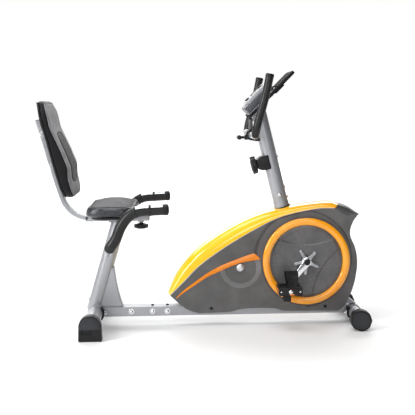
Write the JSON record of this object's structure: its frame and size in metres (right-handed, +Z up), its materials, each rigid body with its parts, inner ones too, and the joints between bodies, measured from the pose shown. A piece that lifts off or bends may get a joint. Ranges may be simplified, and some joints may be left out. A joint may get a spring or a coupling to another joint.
{
  "type": "recumbent exercise bike",
  "caption": "Recumbent exercise bike with a cased flywheel drive, sliding seat with backrest, side handles, console post and handlebar.",
  "frame": {"origin": "middle of the footprint, on the floor", "axes": "+X forward from the seat to the pedals, +Y to the rider's left, +Z up"},
  "size_m": [1.3142, 0.5826, 1.0191],
  "materials": {
    "silver_paint": "satin metallic silver powder coat",
    "chrome": "polished",
    "steel": "machined",
    "black_plastic": "fine moulded grain",
    "foam": "closed cell foam, matte",
    "grey_shell": "satin moulded",
    "yellow_shell": "high gloss, shading to orange at the front",
    "orange_trim": "high gloss",
    "rubber": "matte",
    "vinyl": "embossed vinyl",
    "screen": "display window"
  },
  "bodies": {
    "frame": {"main_beam": "silver_paint", "rear_frame": "silver_paint", "seat_post": "silver_paint", "rear_stabilizer": "silver_paint", "front_stabilizer": "silver_paint", "rear_cap_right": "black_plastic", "rear_cap_left": "black_plastic", "front_cap_right": "black_plastic", "front_cap_left": "black_plastic", "beam_bolt_1": "chrome", "beam_bolt_2": "chrome", "right_cover": "grey_shell", "left_cover": "grey_shell", "top_cover": "yellow_shell", "nose_trim": "grey_shell", "head_frame": "silver_paint", "drive_belt": "rubber", "flywheel_axle": "steel", "upright_post": "silver_paint", "tension_housing": "black_plastic", "handlebar_clamp": "black_plastic", "console_body": "silver_paint", "console_screen": "screen", "reading_rack": "black_plastic", "side_handle_bar": "silver_paint", "side_grip_right": "foam", "side_grip_left": "foam"},
    "transport_wheel_right": {"transport_wheel_right": "rubber"},
    "transport_wheel_left": {"transport_wheel_left": "rubber"},
    "crankset": {"crank_axle": "steel", "drive_pulley": "black_plastic", "crank_disc_right": "grey_shell", "crank_disc_left": "grey_shell", "crank_ring_right": "orange_trim", "crank_ring_left": "orange_trim", "right_crank": "chrome", "left_crank": "chrome", "right_spindle": "steel", "left_spindle": "steel"},
    "right_pedal": {"right_pedal": "black_plastic", "right_strap": "rubber"},
    "left_pedal": {"left_pedal": "black_plastic", "left_strap": "rubber"},
    "flywheel": {"flywheel": "steel"},
    "idler": {"idler_pulley": "black_plastic"},
    "magnet_bracket": {"magnet_bracket": "steel"},
    "tension_knob": {"tension_knob": "black_plastic"},
    "handlebar": {"handlebar": "chrome", "bar_grip_right": "foam", "bar_grip_left": "foam"},
    "clamp_knob": {"clamp_knob": "black_plastic"},
    "console_button_1": {"console_button_1": "black_plastic"},
    "console_button_2": {"console_button_2": "black_plastic"},
    "console_button_3": {"console_button_3": "black_plastic"},
    "seat": {"seat_rail": "silver_paint", "seat_base": "black_plastic", "seat_cushion": "vinyl", "backrest_board": "black_plastic", "backrest_cushion": "vinyl"},
    "seat_knob": {"seat_knob": "black_plastic"}
  },
  "joints": [
    {"name": "crank_spin", "type": "hinge", "parent": "frame", "child": "crankset", "pos_m": [0.416, 0, 0.26], "axis": [0, 1, 0], "continuous": true},
    {"name": "right_pedal_spin", "type": "hinge", "parent": "crankset", "child": "right_pedal", "pos_m": [0.33733, -0.15, 0.16286], "axis": [0, 1, 0], "continuous": true},
    {"name": "left_pedal_spin", "type": "hinge", "parent": "crankset", "child": "left_pedal", "pos_m": [0.49467, 0.15, 0.35714], "axis": [0, 1, 0], "continuous": true},
    {"name": "flywheel_spin", "type": "hinge", "parent": "frame", "child": "flywheel", "pos_m": [0.151, 0, 0.236], "axis": [0, 1, 0], "continuous": true},
    {"name": "idler_spin", "type": "hinge", "parent": "frame", "child": "idler", "pos_m": [0.25193, 0.038, 0.15512], "axis": [0, 1, 0], "continuous": true},
    {"name": "magnet_swing", "type": "hinge", "parent": "frame", "child": "magnet_bracket", "pos_m": [0.04016, 0, 0.15547], "axis": [0, 1, 0], "range_deg": [-6, 0]},
    {"name": "tension_knob_turn", "type": "hinge", "parent": "frame", "child": "tension_knob", "pos_m": [0.21269, 0, 0.64466], "axis": [-0.9724, 0, -0.2334], "range_deg": [0, 280]},
    {"name": "handlebar_tilt", "type": "hinge", "parent": "frame", "child": "handlebar", "pos_m": [0.202, 0, 0.768], "axis": [0, 1, 0], "range_deg": [-18, 20]},
    {"name": "clamp_knob_turn", "type": "hinge", "parent": "frame", "child": "clamp_knob", "pos_m": [0.154, 0, 0.758], "axis": [-1, 0, 0], "range_deg": [-180, 180]},
    {"name": "seat_slide", "type": "slide", "parent": "frame", "child": "seat", "axis": [1, 0, 0], "range_m": [-0.03, 0.08]},
    {"name": "seat_knob_turn", "type": "hinge", "parent": "seat", "child": "seat_knob", "pos_m": [-0.247, 0, 0.4], "axis": [0, 0, 1], "range_deg": [-180, 180]},
    {"name": "right_wheel_spin", "type": "hinge", "parent": "frame", "child": "transport_wheel_right", "pos_m": [0.633, -0.183, 0.026], "axis": [0, 1, 0], "continuous": true},
    {"name": "left_wheel_spin", "type": "hinge", "parent": "frame", "child": "transport_wheel_left", "pos_m": [0.633, 0.183, 0.026], "axis": [0, 1, 0], "continuous": true},
    {"name": "button_1_press", "type": "slide", "parent": "frame", "child": "console_button_1", "axis": [0.7071, 0, -0.7071], "range_m": [0, 0.0015], "stiffness_N_per_m": 300},
    {"name": "button_2_press", "type": "slide", "parent": "frame", "child": "console_button_2", "axis": [0.7071, 0, -0.7071], "range_m": [0, 0.0015], "stiffness_N_per_m": 300},
    {"name": "button_3_press", "type": "slide", "parent": "frame", "child": "console_button_3", "axis": [0.7071, 0, -0.7071], "range_m": [0, 0.0015], "stiffness_N_per_m": 300}
  ],
  "couplings": [
    {"joint": "flywheel_spin", "follows": "crank_spin", "ratio": 5.9091},
    {"joint": "idler_spin", "follows": "crank_spin", "ratio": -7.2222},
    {"joint": "magnet_swing", "follows": "tension_knob_turn", "ratio": -0.021429}
  ]
}
